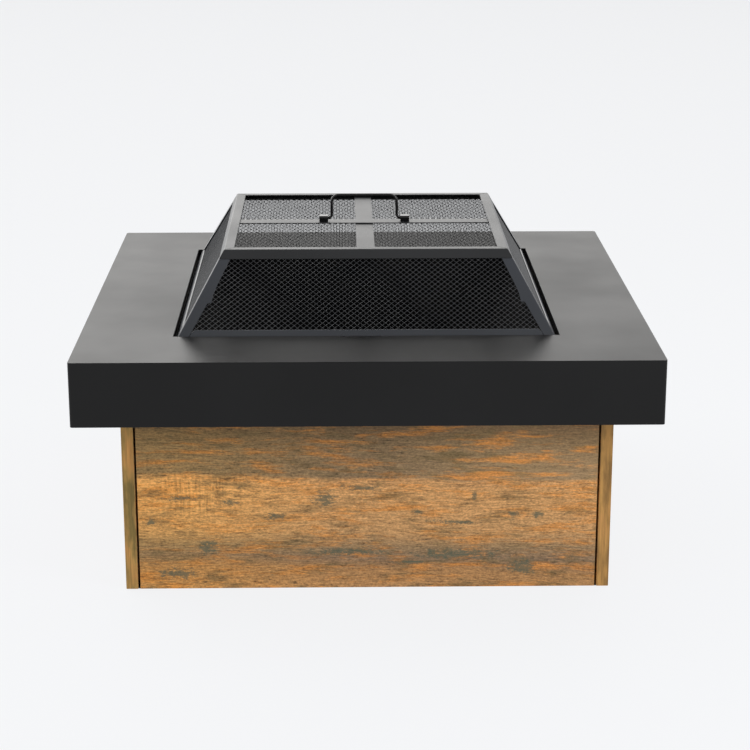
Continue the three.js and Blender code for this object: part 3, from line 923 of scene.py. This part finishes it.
def make_floor():
    """A pale floor that glows a little, so that shadows on it stay faint. The glow stops under the
    base: painted shade there and in the gaps between the boards."""
    deselect()
    bpy.ops.mesh.primitive_plane_add(size=60)
    floor = name_new("studio_floor")
    board_face = -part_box("base_panel_front")[0].y
    material, tree, shader, place = new_material("glowing_floor")
    split = add_node(tree, "SeparateXYZ", {"Vector": place})
    glow = add_node(
        tree, "MapRange",
        {"Value": split.outputs["Y"], "From Min": -0.5, "From Max": 8.0,
         "To Min": FLOOR_GLOW, "To Max": FLOOR_GLOW - FLOOR_FADE},
    )
    spread = add_node(tree, "VectorMath", {0: place}, operation="ABSOLUTE")
    spread = add_node(tree, "SeparateXYZ", {"Vector": spread})
    spread = add_node(
        tree, "Math", {0: spread.outputs["X"], 1: spread.outputs["Y"]}, operation="MAXIMUM"
    )
    # The glow is cut off just inside the boards' faces: painted shade under the base and in its
    # gaps
    glow_outside_base = add_node(
        tree, "MapRange", {"Value": spread, "From Min": board_face - 3 * MM, "From Max": board_face}
    )
    glow = add_node(tree, "Math", {0: glow, 1: glow_outside_base}, operation="MULTIPLY")
    set_inputs(
        tree, shader,
        {"Emission Strength": glow, "Emission Color": colour("#fcfdff"),
         "Base Color": colour("#4a4b4c"), "Roughness": 0.9, "Specular IOR Level": 0.1},
    )
    floor.data.materials.append(material)


def make_world():
    """A pale room: bright behind the table and to its left, dimmer in front and overhead."""
    world = bpy.data.worlds.new("pale_room")
    bpy.context.scene.world = world
    world.use_nodes = True
    tree = world.node_tree
    way = add_node(tree, "TexCoord", {})
    split = add_node(tree, "SeparateXYZ", {"Vector": way.outputs["Generated"]})
    depth = add_node(
        tree, "MapRange",
        {"Value": split.outputs["Y"], "From Min": -0.7, "From Max": 0.7,
         "To Min": ROOM_FRONT, "To Max": ROOM_REAR},
        interpolation_type="SMOOTHSTEP",
    )
    across = add_node(
        tree, "Math", {0: split.outputs["X"], 1: ROOM_RIGHT, 2: 1.0}, operation="MULTIPLY_ADD"
    )
    walls = add_node(tree, "Math", {0: depth, 1: across}, operation="MULTIPLY")
    above = add_node(
        tree, "MapRange", {"Value": split.outputs["Z"], "From Min": 0.35, "From Max": 0.9},
        interpolation_type="SMOOTHSTEP",
    )
    light = add_node(tree, "Mix", {"Factor": above, "A": walls, "B": ROOM_CEILING})
    background = tree.nodes["Background"]
    set_inputs(tree, background, {"Strength": light, "Color": colour("#fffefc")})


def make_softbox(name, place, aim, width, height, watts):
    data = bpy.data.lights.new(name, "AREA")
    data.shape = "RECTANGLE"
    data.size, data.size_y = width, height
    data.energy = watts
    light = bpy.data.objects.new(name, data)
    light.location = place
    light.rotation_euler = (Vector(aim) - Vector(place)).to_track_quat("-Z", "Y").to_euler()
    bpy.context.scene.collection.objects.link(light)


# ---- The whole table ----
bpy.context.scene.view_settings.view_transform = "Standard"
make_camera()
make_floor()
make_world()
for box_name, settings in SOFTBOXES.items():
    make_softbox(box_name, *settings)

mantel_coat = powder_coat("powder_coat_black", "#0f0f10", "#141415", 0.37, 0.22)
screen_coat = powder_coat("powder_coat_graphite", "#2b2f37", "#30343b", 0.29, 0.7)
bar_coat = powder_coat("powder_coat_dark_grey", "#292a2c", "#2e2f31", 0.35, 0.32)
net_coat = powder_coat("powder_coat_on_net", "#303236", "#393b3f", 0.28, 0.8)
# A darker, duller copy of the nets' coat for the top sheet: painted shade, the sheet's coat being
# the nets' own
darker_top_net_coat = powder_coat("powder_coat_on_top_net_painted_darker", "#111213", "#161718", 0.34, 0.22)
zinc = zinc_plate()

make_mantel(mantel_coat)
make_studs(zinc)
make_base(board_edge(), mantel_coat, zinc)
make_bowl(heat_paint())
make_grate(bar_iron())
make_slope_sheets(net_coat)
make_top_sheet(darker_top_net_coat)
make_strips(screen_coat, bar_coat)
make_handle(gloss_black("enamelled_wire", 0.22))
make_clips(gloss_black("moulded_nylon", 0.18))
